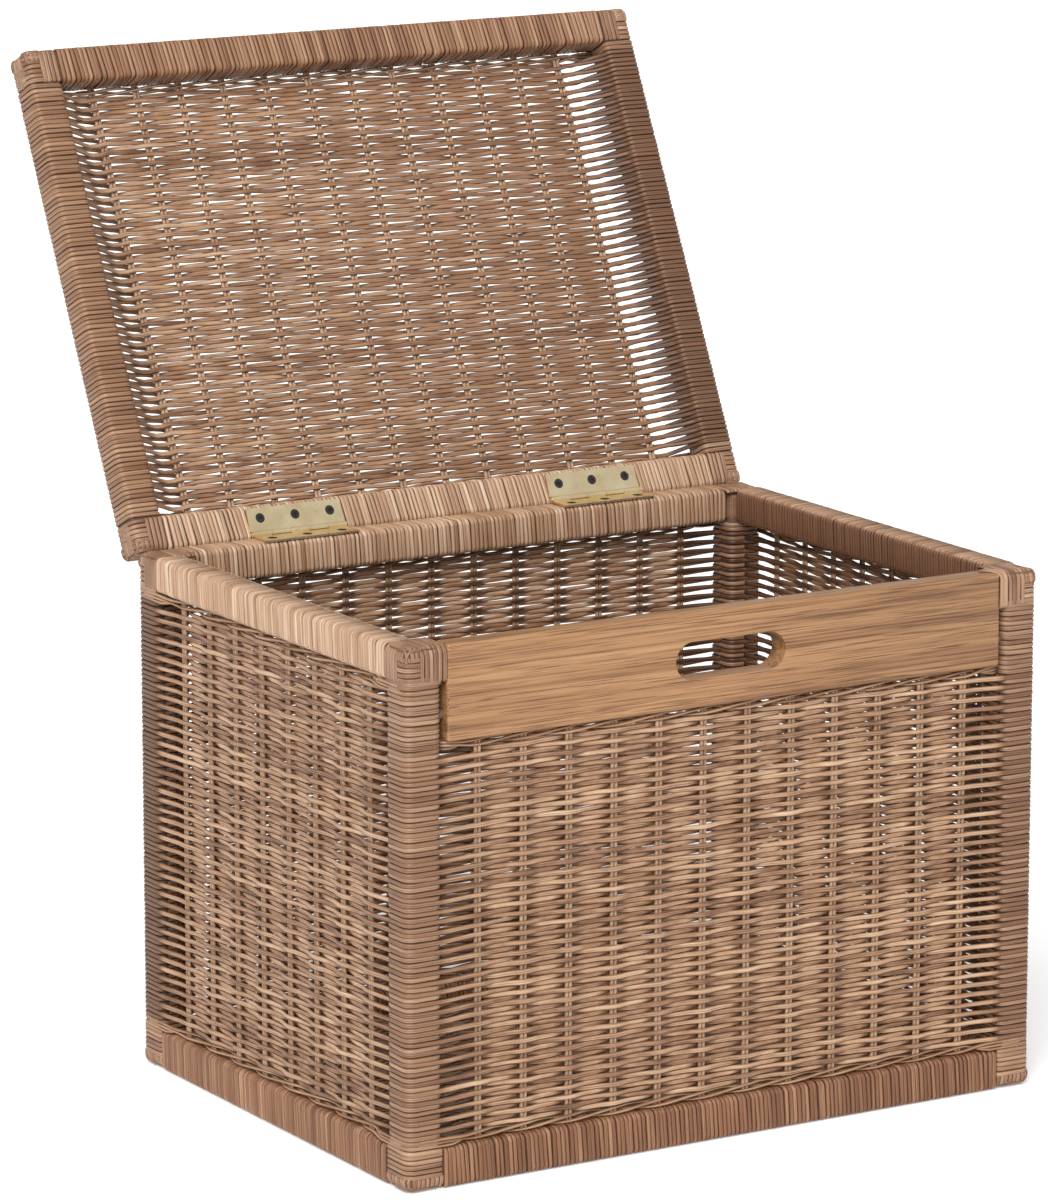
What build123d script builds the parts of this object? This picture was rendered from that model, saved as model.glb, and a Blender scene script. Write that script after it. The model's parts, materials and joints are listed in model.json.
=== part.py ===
from build123d import *
import os
from math import asin, atan2, cos, degrees, hypot, sin

# A lidded wicker trunk that serves as a coffee table, standing with its lid open.
# X runs along the length, Y from front to back and Z up. The origin is on the ground
# under the middle of the box. All sizes are in millimetres.

# Driving dimensions of the box
BOX_LENGTH = 600          # outside of the wrapped posts, along X
BOX_DEPTH = 445           # outside of the wrapped posts, along Y
BOX_HEIGHT = 439          # from the ground to the rim
WRAP = 2                  # thickness of the cane wound round every bar
POST = 34                 # a corner post, across its wrap
POST_RADIUS = 8           # rounding of a wrapped post
RAIL_WIDTH = 28           # every rail of the box, across its binding
TOP_RAIL_HEIGHT = 30
BOTTOM_RAIL_HEIGHT = 34
EDGE_RADIUS = 5           # rounding of every bound rail and of the corner lashings

# Front board
BOARD_HEIGHT = 78
BOARD_THICKNESS = 20
BOARD_GAP = 4             # between each end of the board and the wrapped post
BOARD_ROUNDING = 2.5
HAND_SLOT_LENGTH = 104
HAND_SLOT_HEIGHT = 31
DOWEL_DIAMETER = 8
DOWEL_SPACING = 36
DOWEL_IN_BOARD = 25
DOWEL_IN_POST = 20

# Woven panels
WEAVE_THICKNESS = 7       # weaver, stake and weaver
PANEL_SET_BACK = 8        # outer face of a wall to the middle of its weave
STAKE_DIAMETER = 3
STAKE_PAIR_SPACING = 3.4  # between the two stakes of a pair
STAKE_PITCH = 42          # wanted between pairs, the real one divides the wall evenly
STAKE_MARGIN = 35         # post to the nearest pair
STAKE_SOCKET = 8          # depth of a stake in the rail or board that holds it
BORDER_HEIGHT = 8         # twisted border along the top and bottom of a panel
BATTEN_WIDTH = 30
BATTEN_HEIGHT = 10

# Lid
LID_THICKNESS = 32
LID_RAIL_WIDTH = 31
LID_PANEL_SET_BACK = 27   # rim of the lid to the middle of its weave

# Hinges and fasteners
BARREL_RADIUS = 2.7
MOVING_GAP = 0.3          # clearance between pieces that pass each other
STOP_GAP = 0.4            # between the two back rails when the lid leans on its stop
BARREL_INSET = 3.85       # hinge axis in front of the back faces of box and lid
HINGE_LENGTH = 90
HINGE_SPACING = 294       # between the middles of the two hinges
LEAF_WIDTH = 23           # axis to the free edge of a leaf
LEAF_THICKNESS = 1.8
KNUCKLES = 5              # three on the box leaf, two on the lid leaf
KNUCKLE_GAP = 0.3
PIN_RADIUS = 1.4
PIN_CLEARANCE = 0.05      # radial, in the knuckles that turn on the pin
SCREW_SPACING = 33.5
SCREW_FROM_AXIS = 14
SCREW_RADIUS = 1.75
SCREW_LENGTH = 16
SCREW_HEAD_RADIUS = 4.2
SCREW_CLEARANCE = 0.1
CROSS_LENGTH = 4.6
CROSS_WIDTH = 1
CROSS_DEPTH = 1.1
NAIL_RADIUS = 1.7
NAIL_HEAD_RADIUS = 3.5
NAIL_HEAD = 1.5
NAIL_LENGTH = 55
NAIL_STAGGER = 6          # keeps the two nails in one post head apart

# Levels and angles that follow from them
BOARD_LOW = BOX_HEIGHT - BOARD_HEIGHT
TOP_RAIL_LOW = BOX_HEIGHT - TOP_RAIL_HEIGHT
POST_CORE = POST - 2 * WRAP
AXIS_RISE = BARREL_RADIUS + MOVING_GAP
# The lid leans back until the rounded edges of the two back rails all but meet.
edge_back = BARREL_INSET - EDGE_RADIUS
edge_up = AXIS_RISE + EDGE_RADIUS
edge_reach = hypot(edge_back, edge_up)
edge_turn = atan2(edge_up, edge_back)
LID_OPEN = 2 * edge_turn - 2 * asin((2 * EDGE_RADIUS + STOP_GAP) / (2 * edge_reach))
print("lid opens", round(degrees(LID_OPEN), 3), "degrees; hinge axis at y",
      BOX_DEPTH / 2 - BARREL_INSET, "z", BOX_HEIGHT + AXIS_RISE)

os.makedirs("parts", exist_ok=True)


def save(piece, label):
    """Name a finished piece and write it."""
    piece.part.label = label
    export_step(piece.part, f"parts/{label}.step")


# Planes. A wall or a lid edge has a plane in its outer face, standing on the base of
# its frame: x runs along it, y goes up and z points out. The hinge has one plane for
# each half of the trunk, both with their origin on its axis.

def edge_planes(base, length, depth):
    """The four edge planes of a rectangular frame on the base plane."""
    half_length = length / 2
    half_depth = depth / 2
    across, along = base.x_dir, base.y_dir
    middle = base.from_local_coords
    return {
        "front": Plane(origin=middle((0, -half_depth, 0)), x_dir=across, z_dir=along * -1),
        "back": Plane(origin=middle((0, half_depth, 0)), x_dir=across * -1, z_dir=along),
        "left": Plane(origin=middle((-half_length, 0, 0)), x_dir=along * -1, z_dir=across * -1),
        "right": Plane(origin=middle((half_length, 0, 0)), x_dir=along, z_dir=across),
    }


def run_plane(edge, along, up, depth):
    """A plane square to an edge's run: x is up and y is out."""
    return Plane(origin=edge.from_local_coords((along, up, -depth)), x_dir=edge.y_dir, z_dir=edge.x_dir)


BOX_HINGE = Plane(origin=(0, BOX_DEPTH / 2 - BARREL_INSET, BOX_HEIGHT + AXIS_RISE))
LID_HINGE = Plane(origin=BOX_HINGE.origin, x_dir=(1, 0, 0), z_dir=(0, sin(LID_OPEN), cos(LID_OPEN)))
LID_RIM = Plane(
    origin=LID_HINGE.from_local_coords((0, BARREL_INSET - BOX_DEPTH / 2, AXIS_RISE)),
    x_dir=LID_HINGE.x_dir,
    z_dir=LID_HINGE.z_dir,
)
walls = edge_planes(Plane.XY, BOX_LENGTH, BOX_DEPTH)
lid_edges = edge_planes(LID_RIM, BOX_LENGTH, BOX_DEPTH)
runs = {"front": BOX_LENGTH, "back": BOX_LENGTH, "left": BOX_DEPTH, "right": BOX_DEPTH}


# Bars and the cane round them

def bar(edge, length, up, height, width, depth, radius):
    """A straight bar with rounded edges, centred on its edge's run."""
    with BuildPart() as made:
        with BuildSketch(run_plane(edge, -length / 2, up, depth)):
            RectangleRounded(height, width, radius)
        extrude(amount=length)
    return made


def binding(edge, length, up, height, width, holes):
    """The layer of cane round a bar, as a sleeve, with holes for what passes through it."""
    with BuildPart() as made:
        with BuildSketch(run_plane(edge, -length / 2, up, width / 2)):
            RectangleRounded(height, width, EDGE_RADIUS)
            RectangleRounded(height - 2 * WRAP, width - 2 * WRAP, EDGE_RADIUS - WRAP, mode=Mode.SUBTRACT)
        extrude(amount=length)
        for hole in holes:
            add(hole.part, mode=Mode.SUBTRACT)
    return made


def core(edge, length, up, height, width, holes):
    """The wooden bar inside a binding."""
    made = bar(edge, length, up, height - 2 * WRAP, width - 2 * WRAP, width / 2, EDGE_RADIUS - WRAP)
    with made:
        for hole in holes:
            add(hole.part, mode=Mode.SUBTRACT)
    return made


# Stakes: the doubled rods that the weavers pass round

def pair_positions(run, margin):
    """Middles of the stake pairs along a run, evenly spread between the margins."""
    span = run - 2 * margin
    count = round(span / STAKE_PITCH)
    return [-span / 2 + span * step / count for step in range(count + 1)]


def stakes(planes_and_lengths, positions):
    """Pairs of round rods, one set from each plane, spread along its x."""
    with BuildPart() as made:
        for plane, length in planes_and_lengths:
            with BuildSketch(plane):
                for middle in positions:
                    half = STAKE_PAIR_SPACING / 2
                    with Locations((middle - half, 0), (middle + half, 0)):
                        Circle(STAKE_DIAMETER / 2)
            extrude(amount=length)
    return made


def upright(wall, up):
    """A level plane at a height on a wall, in the middle of its weave, facing up."""
    origin = wall.from_local_coords((0, up, -PANEL_SET_BACK))
    return Plane(origin=origin, x_dir=wall.x_dir, z_dir=wall.y_dir)


stake_start = BOTTOM_RAIL_HEIGHT - WRAP - STAKE_SOCKET
front_stake_length = BOARD_LOW + STAKE_SOCKET - stake_start
wall_stake_length = TOP_RAIL_LOW + WRAP + STAKE_SOCKET - stake_start
long_pairs = pair_positions(BOX_LENGTH - 2 * POST, STAKE_MARGIN)
short_pairs = pair_positions(BOX_DEPTH - 2 * POST, STAKE_MARGIN)
front_stakes = stakes([(upright(walls["front"], stake_start), front_stake_length)], long_pairs)
back_stakes = stakes([(upright(walls["back"], stake_start), wall_stake_length)], long_pairs)
side_planes = [(upright(walls[side], stake_start), wall_stake_length) for side in ("left", "right")]
side_stakes = stakes(side_planes, short_pairs)

FLOOR_MIDDLE = BATTEN_HEIGHT + WEAVE_THICKNESS / 2
floor_stake_start = RAIL_WIDTH - WRAP - STAKE_SOCKET
floor_start = walls["front"].from_local_coords((0, FLOOR_MIDDLE, -floor_stake_start))
floor_plane = Plane(origin=floor_start, x_dir=(1, 0, 0), z_dir=(0, 1, 0))
floor_stakes = stakes([(floor_plane, BOX_DEPTH - 2 * floor_stake_start)], long_pairs)

lid_stake_start = LID_RAIL_WIDTH - WRAP - STAKE_SOCKET
lid_start = lid_edges["front"].from_local_coords((0, LID_PANEL_SET_BACK, -lid_stake_start))
lid_plane = Plane(origin=lid_start, x_dir=(1, 0, 0), z_dir=LID_RIM.y_dir)
lid_stakes = stakes([(lid_plane, BOX_DEPTH - 2 * lid_stake_start)], long_pairs)


# Nails and dowels that hold the frame together, flush under the cane

def nails(places):
    """Nails from planes in the wood's face, driven against each plane's normal."""
    with BuildPart() as made:
        for place in places:
            with BuildSketch(place):
                Circle(NAIL_HEAD_RADIUS)
            extrude(amount=-NAIL_HEAD)
            with BuildSketch(place):
                Circle(NAIL_RADIUS)
            extrude(amount=-NAIL_LENGTH)
    return made


def end_planes(edge, run, up, depth):
    """The two planes in the faces that close a run, each facing away from it."""
    reach = run / 2 - WRAP
    places = []
    for end in (-1, 1):
        origin = edge.from_local_coords((end * reach, up, -depth))
        places.append(Plane(origin=origin, x_dir=edge.y_dir, z_dir=edge.x_dir * end))
    return places


top_middle = BOX_HEIGHT - TOP_RAIL_HEIGHT / 2
bottom_middle = BOTTOM_RAIL_HEIGHT / 2
nail_places = end_planes(walls["back"], BOX_LENGTH, top_middle - NAIL_STAGGER, RAIL_WIDTH / 2)
for side in ("front", "back"):
    nail_places += end_planes(walls[side], BOX_LENGTH, bottom_middle - NAIL_STAGGER, RAIL_WIDTH / 2)
    # one nail through the rail into the end of the batten
    batten_nail = walls[side].from_local_coords((0, (WRAP + BATTEN_HEIGHT) / 2, -WRAP))
    nail_places.append(Plane(origin=batten_nail, x_dir=(1, 0, 0), z_dir=walls[side].z_dir))
for side in ("left", "right"):
    for middle in (top_middle, bottom_middle):
        nail_places += end_planes(walls[side], BOX_DEPTH, middle + NAIL_STAGGER, RAIL_WIDTH / 2)
frame_nails = nails(nail_places)

lid_nail_places = []
for side in ("front", "back"):
    middle = LID_THICKNESS / 2
    lid_nail_places += end_planes(lid_edges[side], BOX_LENGTH, middle, LID_RAIL_WIDTH / 2)
lid_nails = nails(lid_nail_places)

board_length = BOX_LENGTH - 2 * POST - 2 * BOARD_GAP
board_middle = BOARD_LOW + BOARD_HEIGHT / 2
with BuildPart() as front_board_dowels:
    for end in (-1, 1):
        for step in (-1, 1):
            start = end * (board_length / 2 - DOWEL_IN_BOARD)
            up = board_middle + step * DOWEL_SPACING / 2
            with BuildSketch(run_plane(walls["front"], start, up, BOARD_THICKNESS / 2)):
                Circle(DOWEL_DIAMETER / 2)
            extrude(amount=end * (DOWEL_IN_BOARD + BOARD_GAP + WRAP + DOWEL_IN_POST))


# Hinges: two butt hinges laid on the rims, their leaves not let in

hinge_middles = (-HINGE_SPACING / 2, HINGE_SPACING / 2)
screw_steps = (-SCREW_SPACING, 0, SCREW_SPACING)


def screws(half, outward):
    """Countersunk screws of both hinges in one half; outward is +1 where the heads face up."""
    with BuildPart() as made:
        for hinge in hinge_middles:
            for step in screw_steps:
                face = half.from_local_coords((hinge + step, -SCREW_FROM_AXIS,
                                               -outward * (AXIS_RISE - LEAF_THICKNESS)))
                head = Plane(origin=face, x_dir=half.x_dir, z_dir=half.z_dir * outward)
                profile = Plane(origin=face, x_dir=half.x_dir, z_dir=half.y_dir * -outward)
                cone = SCREW_HEAD_RADIUS - SCREW_RADIUS
                with BuildSketch(profile):
                    with BuildLine():
                        Polyline(
                            (0, 0),
                            (SCREW_HEAD_RADIUS, 0),
                            (SCREW_RADIUS, -cone),
                            (SCREW_RADIUS, -SCREW_LENGTH + 2 * SCREW_RADIUS),
                            (0, -SCREW_LENGTH),
                            close=True,
                        )
                    make_face()
                revolve(axis=Axis(face, head.z_dir))
                with BuildSketch(head):
                    Rectangle(CROSS_LENGTH, CROSS_WIDTH)
                    Rectangle(CROSS_WIDTH, CROSS_LENGTH)
                extrude(amount=-CROSS_DEPTH, mode=Mode.SUBTRACT)
    return made


def leaves(half, outward, own_knuckles, bore):
    """The leaves of both hinges in one half, rolled round the pin at their own knuckles."""
    zone = HINGE_LENGTH / KNUCKLES
    notch = BARREL_RADIUS + MOVING_GAP
    with BuildPart(half) as made:
        for hinge in hinge_middles:
            first = hinge - HINGE_LENGTH / 2 + zone / 2
            with Locations((hinge, -LEAF_WIDTH / 2, -outward * (AXIS_RISE - LEAF_THICKNESS / 2))):
                Box(HINGE_LENGTH, LEAF_WIDTH, LEAF_THICKNESS)
            for number in range(KNUCKLES):
                with Locations((first + number * zone, 0, 0)):
                    if number in own_knuckles:
                        Cylinder(BARREL_RADIUS, zone - KNUCKLE_GAP, rotation=(0, 90, 0))
                    else:
                        Box(zone + KNUCKLE_GAP, 2 * notch, 2 * BARREL_RADIUS + 2 * notch, mode=Mode.SUBTRACT)
            with Locations((hinge, 0, 0)):
                Cylinder(bore, HINGE_LENGTH, rotation=(0, 90, 0), mode=Mode.SUBTRACT)
    with made:
        for hinge in hinge_middles:
            for step in screw_steps:
                face = half.from_local_coords((hinge + step, -SCREW_FROM_AXIS,
                                               -outward * (AXIS_RISE - LEAF_THICKNESS)))
                with BuildSketch(Plane(origin=face, x_dir=half.x_dir, z_dir=half.z_dir * outward)):
                    Circle(SCREW_HEAD_RADIUS + SCREW_CLEARANCE)
                extrude(amount=-LEAF_THICKNESS, taper=45, mode=Mode.SUBTRACT)
    return made


hinge_box_screws = screws(BOX_HINGE, 1)
hinge_lid_screws = screws(LID_HINGE, -1)
hinge_box_leaves = leaves(BOX_HINGE, 1, (0, 2, 4), PIN_RADIUS)
hinge_lid_leaves = leaves(LID_HINGE, -1, (1, 3), PIN_RADIUS + PIN_CLEARANCE)
with BuildPart(BOX_HINGE) as hinge_pins:
    with Locations(*[(hinge, 0, 0) for hinge in hinge_middles]):
        Cylinder(PIN_RADIUS, HINGE_LENGTH, rotation=(0, 90, 0))
for piece, label in (
    (hinge_box_leaves, "hinge_box_leaves"),
    (hinge_lid_leaves, "hinge_lid_leaves"),
    (hinge_pins, "hinge_pins"),
    (hinge_box_screws, "hinge_box_screws"),
    (hinge_lid_screws, "hinge_lid_screws"),
    (frame_nails, "frame_nails"),
    (lid_nails, "lid_nails"),
    (front_board_dowels, "front_board_dowels"),
    (front_stakes, "front_stakes"),
    (back_stakes, "back_stakes"),
    (side_stakes, "side_stakes"),
    (floor_stakes, "floor_stakes"),
    (lid_stakes, "lid_stakes"),
):
    save(piece, label)


# Corner posts: wooden bars, wrapped by the weavers between the two rings of rails

corners = {"front_left": (-1, -1), "front_right": (1, -1), "back_left": (-1, 1), "back_right": (1, 1)}


def post_middle(corner):
    """Middle of a post on the ground."""
    side, end = corners[corner]
    return side * (BOX_LENGTH - POST) / 2, end * (BOX_DEPTH - POST) / 2


post_middles = [post_middle(corner) for corner in corners]
for corner in corners:
    drilled = [frame_nails, front_board_dowels] if "front" in corner else [frame_nails]
    with BuildPart() as post:
        with BuildSketch(Plane.XY.offset(WRAP)):
            with Locations(post_middle(corner)):
                RectangleRounded(POST_CORE, POST_CORE, POST_RADIUS - WRAP)
        extrude(amount=BOX_HEIGHT - 2 * WRAP)
        for hole in drilled:
            add(hole.part, mode=Mode.SUBTRACT)
    save(post, f"{corner}_post")
    with BuildPart() as wrap:
        with BuildSketch(Plane.XY.offset(BOTTOM_RAIL_HEIGHT)):
            with Locations(post_middle(corner)):
                RectangleRounded(POST, POST, POST_RADIUS)
                RectangleRounded(POST_CORE, POST_CORE, POST_RADIUS - WRAP, mode=Mode.SUBTRACT)
        extrude(amount=TOP_RAIL_LOW - BOTTOM_RAIL_HEIGHT)
        if "front" in corner:
            add(front_board_dowels.part, mode=Mode.SUBTRACT)
    save(wrap, f"{corner}_post_wrap")


# Front board with its hand slot, between the front posts

with BuildPart() as front_board:
    with BuildSketch(walls["front"]):
        with Locations((0, board_middle)):
            Rectangle(board_length, BOARD_HEIGHT)
    extrude(amount=-BOARD_THICKNESS)
    fillet(front_board.edges(), BOARD_ROUNDING)
    with BuildSketch(walls["front"]):
        with Locations((0, board_middle)):
            SlotOverall(HAND_SLOT_LENGTH, HAND_SLOT_HEIGHT)
    extrude(amount=-BOARD_THICKNESS, mode=Mode.SUBTRACT)
    add(front_stakes.part, mode=Mode.SUBTRACT)
    add(front_board_dowels.part, mode=Mode.SUBTRACT)
save(front_board, "front_board")


# Base batten under the woven floor, from the front rail's wood to the back rail's

with BuildPart() as base_batten:
    with BuildSketch(Plane.XY):
        Rectangle(BATTEN_WIDTH, BOX_DEPTH - 2 * (RAIL_WIDTH - WRAP))
    extrude(amount=BATTEN_HEIGHT)
    add(frame_nails.part, mode=Mode.SUBTRACT)
save(base_batten, "base_batten")


# Rails of the box and their cane bindings

def box_rail(side, level, up, height, core_holes, binding_holes):
    """One rail between two posts, with its wood and its binding."""
    wood = core(walls[side], runs[side] - 2 * POST + 2 * WRAP, up, height, RAIL_WIDTH, core_holes)
    save(wood, f"{side}_{level}_rail")
    cane = binding(walls[side], runs[side] - 2 * POST, up, height, RAIL_WIDTH, binding_holes)
    save(cane, f"{side}_{level}_binding")


wall_stakes = {"front": front_stakes, "back": back_stakes, "left": side_stakes, "right": side_stakes}
top_rails = ("back", "left", "right")
for side in top_rails:
    through = [wall_stakes[side]]
    if side == "back":
        through.append(hinge_box_screws)
    box_rail(side, "top", top_middle, TOP_RAIL_HEIGHT, through + [frame_nails], through)
for side in walls:
    through = [wall_stakes[side]]
    if side in ("front", "back"):
        through.append(floor_stakes)
    in_binding = through + [base_batten, frame_nails] if side in ("front", "back") else through
    box_rail(side, "bottom", bottom_middle, BOTTOM_RAIL_HEIGHT, through + [frame_nails], in_binding)


# Corner lashings: strands crossed over each post head and foot, as rounded caps

def rail_space(side, up, height):
    """The space that a rail's wood takes, right into the posts' lashings."""
    return bar(walls[side], runs[side] - 2 * POST + 2 * WRAP, up, height - 2 * WRAP,
               RAIL_WIDTH - 2 * WRAP, RAIL_WIDTH / 2, EDGE_RADIUS - WRAP)


def lashings(low, height, top_is_end, rails_here):
    """The caps at one end of the four posts, rounded over at their closed end."""
    core_low = low if top_is_end else low + WRAP
    with BuildPart() as made:
        with BuildSketch(Plane.XY.offset(low)):
            with Locations(*post_middles):
                RectangleRounded(POST, POST, POST_RADIUS)
        extrude(amount=height)
        ends = made.faces().filter_by(Plane.XY).group_by(Axis.Z)[-1 if top_is_end else 0]
        fillet(ends.edges(), EDGE_RADIUS if top_is_end else WRAP)
        with BuildSketch(Plane.XY.offset(core_low)):
            with Locations(*post_middles):
                RectangleRounded(POST_CORE, POST_CORE, POST_RADIUS - WRAP)
        extrude(amount=height - WRAP, mode=Mode.SUBTRACT)
        for side in rails_here:
            add(rail_space(side, low + height / 2, height).part, mode=Mode.SUBTRACT)
        add(front_board_dowels.part, mode=Mode.SUBTRACT)
    return made


save(lashings(TOP_RAIL_LOW, TOP_RAIL_HEIGHT, True, top_rails), "top_corner_lashings")
save(lashings(0, BOTTOM_RAIL_HEIGHT, False, tuple(walls)), "bottom_corner_lashings")


# Woven walls and their twisted borders; the weavers fill the space from post to post

def panel_block(wall, length, low, high):
    """A flat slab of weave in a wall."""
    with BuildPart() as made:
        with BuildSketch(Plane(origin=wall.from_local_coords((0, 0, WEAVE_THICKNESS / 2 - PANEL_SET_BACK)),
                               x_dir=wall.x_dir, z_dir=wall.z_dir)):
            with Locations((0, (low + high) / 2)):
                Rectangle(length, high - low)
        extrude(amount=-WEAVE_THICKNESS)
    return made


panel_tops = {"front": BOARD_LOW, "back": TOP_RAIL_LOW, "left": TOP_RAIL_LOW, "right": TOP_RAIL_LOW}
border_strips = []
for side, wall in walls.items():
    length = runs[side] - 2 * POST
    high = panel_tops[side]
    weave = panel_block(wall, length, BOTTOM_RAIL_HEIGHT + BORDER_HEIGHT, high - BORDER_HEIGHT)
    with weave:
        add(wall_stakes[side].part, mode=Mode.SUBTRACT)
    save(weave, f"{side}_weave")
    border_strips.append(panel_block(wall, length, BOTTOM_RAIL_HEIGHT, BOTTOM_RAIL_HEIGHT + BORDER_HEIGHT))
    border_strips.append(panel_block(wall, length, high - BORDER_HEIGHT, high))

with BuildPart() as panel_borders:
    for strip in border_strips:
        add(strip.part)
    for rods in (front_stakes, back_stakes, side_stakes):
        add(rods.part, mode=Mode.SUBTRACT)
save(panel_borders, "panel_borders")


# Woven floor, on the batten, between the bottom rails and round the feet of the posts

with BuildPart() as floor_weave:
    with BuildSketch(Plane.XY.offset(BATTEN_HEIGHT)):
        Rectangle(BOX_LENGTH - 2 * RAIL_WIDTH, BOX_DEPTH - 2 * RAIL_WIDTH)
        with Locations(*post_middles):
            Rectangle(POST, POST, mode=Mode.SUBTRACT)
    extrude(amount=WEAVE_THICKNESS)
    add(floor_stakes.part, mode=Mode.SUBTRACT)
save(floor_weave, "floor_weave")


# Lid: four rails, the side ones running through, and a woven panel near the outer face

lid_middle = LID_THICKNESS / 2
lid_inner_length = BOX_LENGTH - 2 * LID_RAIL_WIDTH
lid_inner_depth = BOX_DEPTH - 2 * LID_RAIL_WIDTH
lid_cores = []
for side, edge in lid_edges.items():
    if side in ("left", "right"):
        wood_length, cane_length = BOX_DEPTH - 2 * WRAP, lid_inner_depth
        through = []
    else:
        wood_length, cane_length = lid_inner_length + 2 * WRAP, lid_inner_length
        through = [lid_stakes]
    if side == "back":
        through.append(hinge_lid_screws)
    wood = core(edge, wood_length, lid_middle, LID_THICKNESS, LID_RAIL_WIDTH, through + [lid_nails])
    lid_cores.append(bar(edge, wood_length, lid_middle, LID_THICKNESS - 2 * WRAP,
                         LID_RAIL_WIDTH - 2 * WRAP, LID_RAIL_WIDTH / 2, EDGE_RADIUS - WRAP))
    save(wood, f"lid_{side}_rail")
    save(binding(edge, cane_length, lid_middle, LID_THICKNESS, LID_RAIL_WIDTH, through), f"lid_{side}_binding")

with BuildPart() as lid_corner_lashings:
    with BuildSketch(LID_RIM):
        with GridLocations(BOX_LENGTH - LID_RAIL_WIDTH, BOX_DEPTH - LID_RAIL_WIDTH, 2, 2):
            RectangleRounded(LID_RAIL_WIDTH, LID_RAIL_WIDTH, POST_RADIUS)
    extrude(amount=LID_THICKNESS)
    fillet(lid_corner_lashings.faces().filter_by(LID_RIM).edges(), EDGE_RADIUS)
    for wood in lid_cores:
        add(wood.part, mode=Mode.SUBTRACT)
save(lid_corner_lashings, "lid_corner_lashings")


def lid_strip(low, high):
    """A slab of the lid's weave between two distances from its middle, front to back."""
    with BuildPart() as made:
        with BuildSketch(LID_RIM.offset(LID_PANEL_SET_BACK - WEAVE_THICKNESS / 2)):
            with Locations((0, (low + high) / 2)):
                Rectangle(lid_inner_length, high - low)
        extrude(amount=WEAVE_THICKNESS)
        add(lid_stakes.part, mode=Mode.SUBTRACT)
    return made


panel_edge = lid_inner_depth / 2
save(lid_strip(BORDER_HEIGHT - panel_edge, panel_edge - BORDER_HEIGHT), "lid_weave")
with BuildPart() as lid_borders:
    add(lid_strip(-panel_edge, BORDER_HEIGHT - panel_edge).part)
    add(lid_strip(panel_edge - BORDER_HEIGHT, panel_edge).part)
save(lid_borders, "lid_borders")
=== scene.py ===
import json
import math

import bmesh
import bpy
import numpy as np
from mathutils import Matrix, Vector


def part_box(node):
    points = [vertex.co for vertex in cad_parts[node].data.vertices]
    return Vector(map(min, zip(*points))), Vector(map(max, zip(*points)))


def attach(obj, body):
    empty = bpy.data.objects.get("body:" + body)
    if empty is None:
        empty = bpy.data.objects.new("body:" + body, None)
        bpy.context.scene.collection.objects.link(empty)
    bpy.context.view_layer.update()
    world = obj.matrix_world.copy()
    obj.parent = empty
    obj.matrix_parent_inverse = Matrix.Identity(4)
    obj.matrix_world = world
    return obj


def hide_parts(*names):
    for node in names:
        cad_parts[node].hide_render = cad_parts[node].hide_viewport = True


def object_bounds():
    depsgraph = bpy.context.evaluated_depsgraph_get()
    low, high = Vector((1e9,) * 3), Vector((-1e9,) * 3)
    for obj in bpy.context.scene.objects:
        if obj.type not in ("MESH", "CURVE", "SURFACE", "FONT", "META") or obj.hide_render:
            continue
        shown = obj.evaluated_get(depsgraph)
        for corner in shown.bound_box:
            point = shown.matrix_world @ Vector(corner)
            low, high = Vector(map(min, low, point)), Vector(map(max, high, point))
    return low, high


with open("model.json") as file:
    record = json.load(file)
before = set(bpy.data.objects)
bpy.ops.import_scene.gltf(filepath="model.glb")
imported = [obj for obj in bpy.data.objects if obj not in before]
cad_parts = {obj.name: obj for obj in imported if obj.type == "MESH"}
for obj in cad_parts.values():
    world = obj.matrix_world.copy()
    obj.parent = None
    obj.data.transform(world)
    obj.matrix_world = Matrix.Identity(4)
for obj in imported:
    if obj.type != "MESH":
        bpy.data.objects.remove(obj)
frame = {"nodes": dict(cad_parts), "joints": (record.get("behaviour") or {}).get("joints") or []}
cad_low, cad_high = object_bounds()
nodes = frame["nodes"]
mm = 0.001


# Camera. It stands well back to the left of the front and a little above the open lid's middle,
# with a long lens, so the rails of the trunk stay nearly parallel.
camera_data = bpy.data.cameras.new("camera")
camera_data.lens = 190.08
camera_data.sensor_width = 36
camera_data.clip_end = 100
camera = bpy.data.objects.new("camera", camera_data)
camera.location = (-2.6920, -4.3522, 1.4963)
camera.rotation_euler = (math.radians(90 - 12.04), 0, math.radians(-31.18))
bpy.context.scene.collection.objects.link(camera)
bpy.context.scene.camera = camera


# Frame of the trunk: square posts, rails and the batten under the floor, sawn from plain wood
# and stained brown. Nearly all of it is hidden under cane; it shows only in the deepest gaps.
def finish_of(name, metallic=0.0, roughness=0.5):
    """A new material, its node tree and its shader, ready for colour and bump."""
    material = bpy.data.materials.new(name)
    material.use_nodes = True
    shader = material.node_tree.nodes["Principled BSDF"]
    shader.inputs["Metallic"].default_value = metallic
    shader.inputs["Roughness"].default_value = roughness
    return material, material.node_tree, shader


def add_node(tree, kind, inputs=(), **settings):
    """A shader node; inputs are (socket, value or the output that feeds it)."""
    new_node = tree.nodes.new("ShaderNode" + kind)
    for setting, value in settings.items():
        setattr(new_node, setting, value)
    for socket, value in inputs:
        if isinstance(value, bpy.types.NodeSocket):
            tree.links.new(value, new_node.inputs[socket])
        else:
            new_node.inputs[socket].default_value = value
    return new_node


def colour_ramp(tree, factor, stops):
    """Colours spread along a factor from 0 to 1; stops are (position, colour)."""
    ramp = add_node(tree, "ValToRGB", [("Fac", factor)])
    band = ramp.color_ramp
    while len(band.elements) < len(stops):
        band.elements.new(0.5)
    for element, (position, colour) in zip(band.elements, stops):
        element.position = position
        element.color = (*colour, 1)
    return ramp.outputs["Color"]


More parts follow.
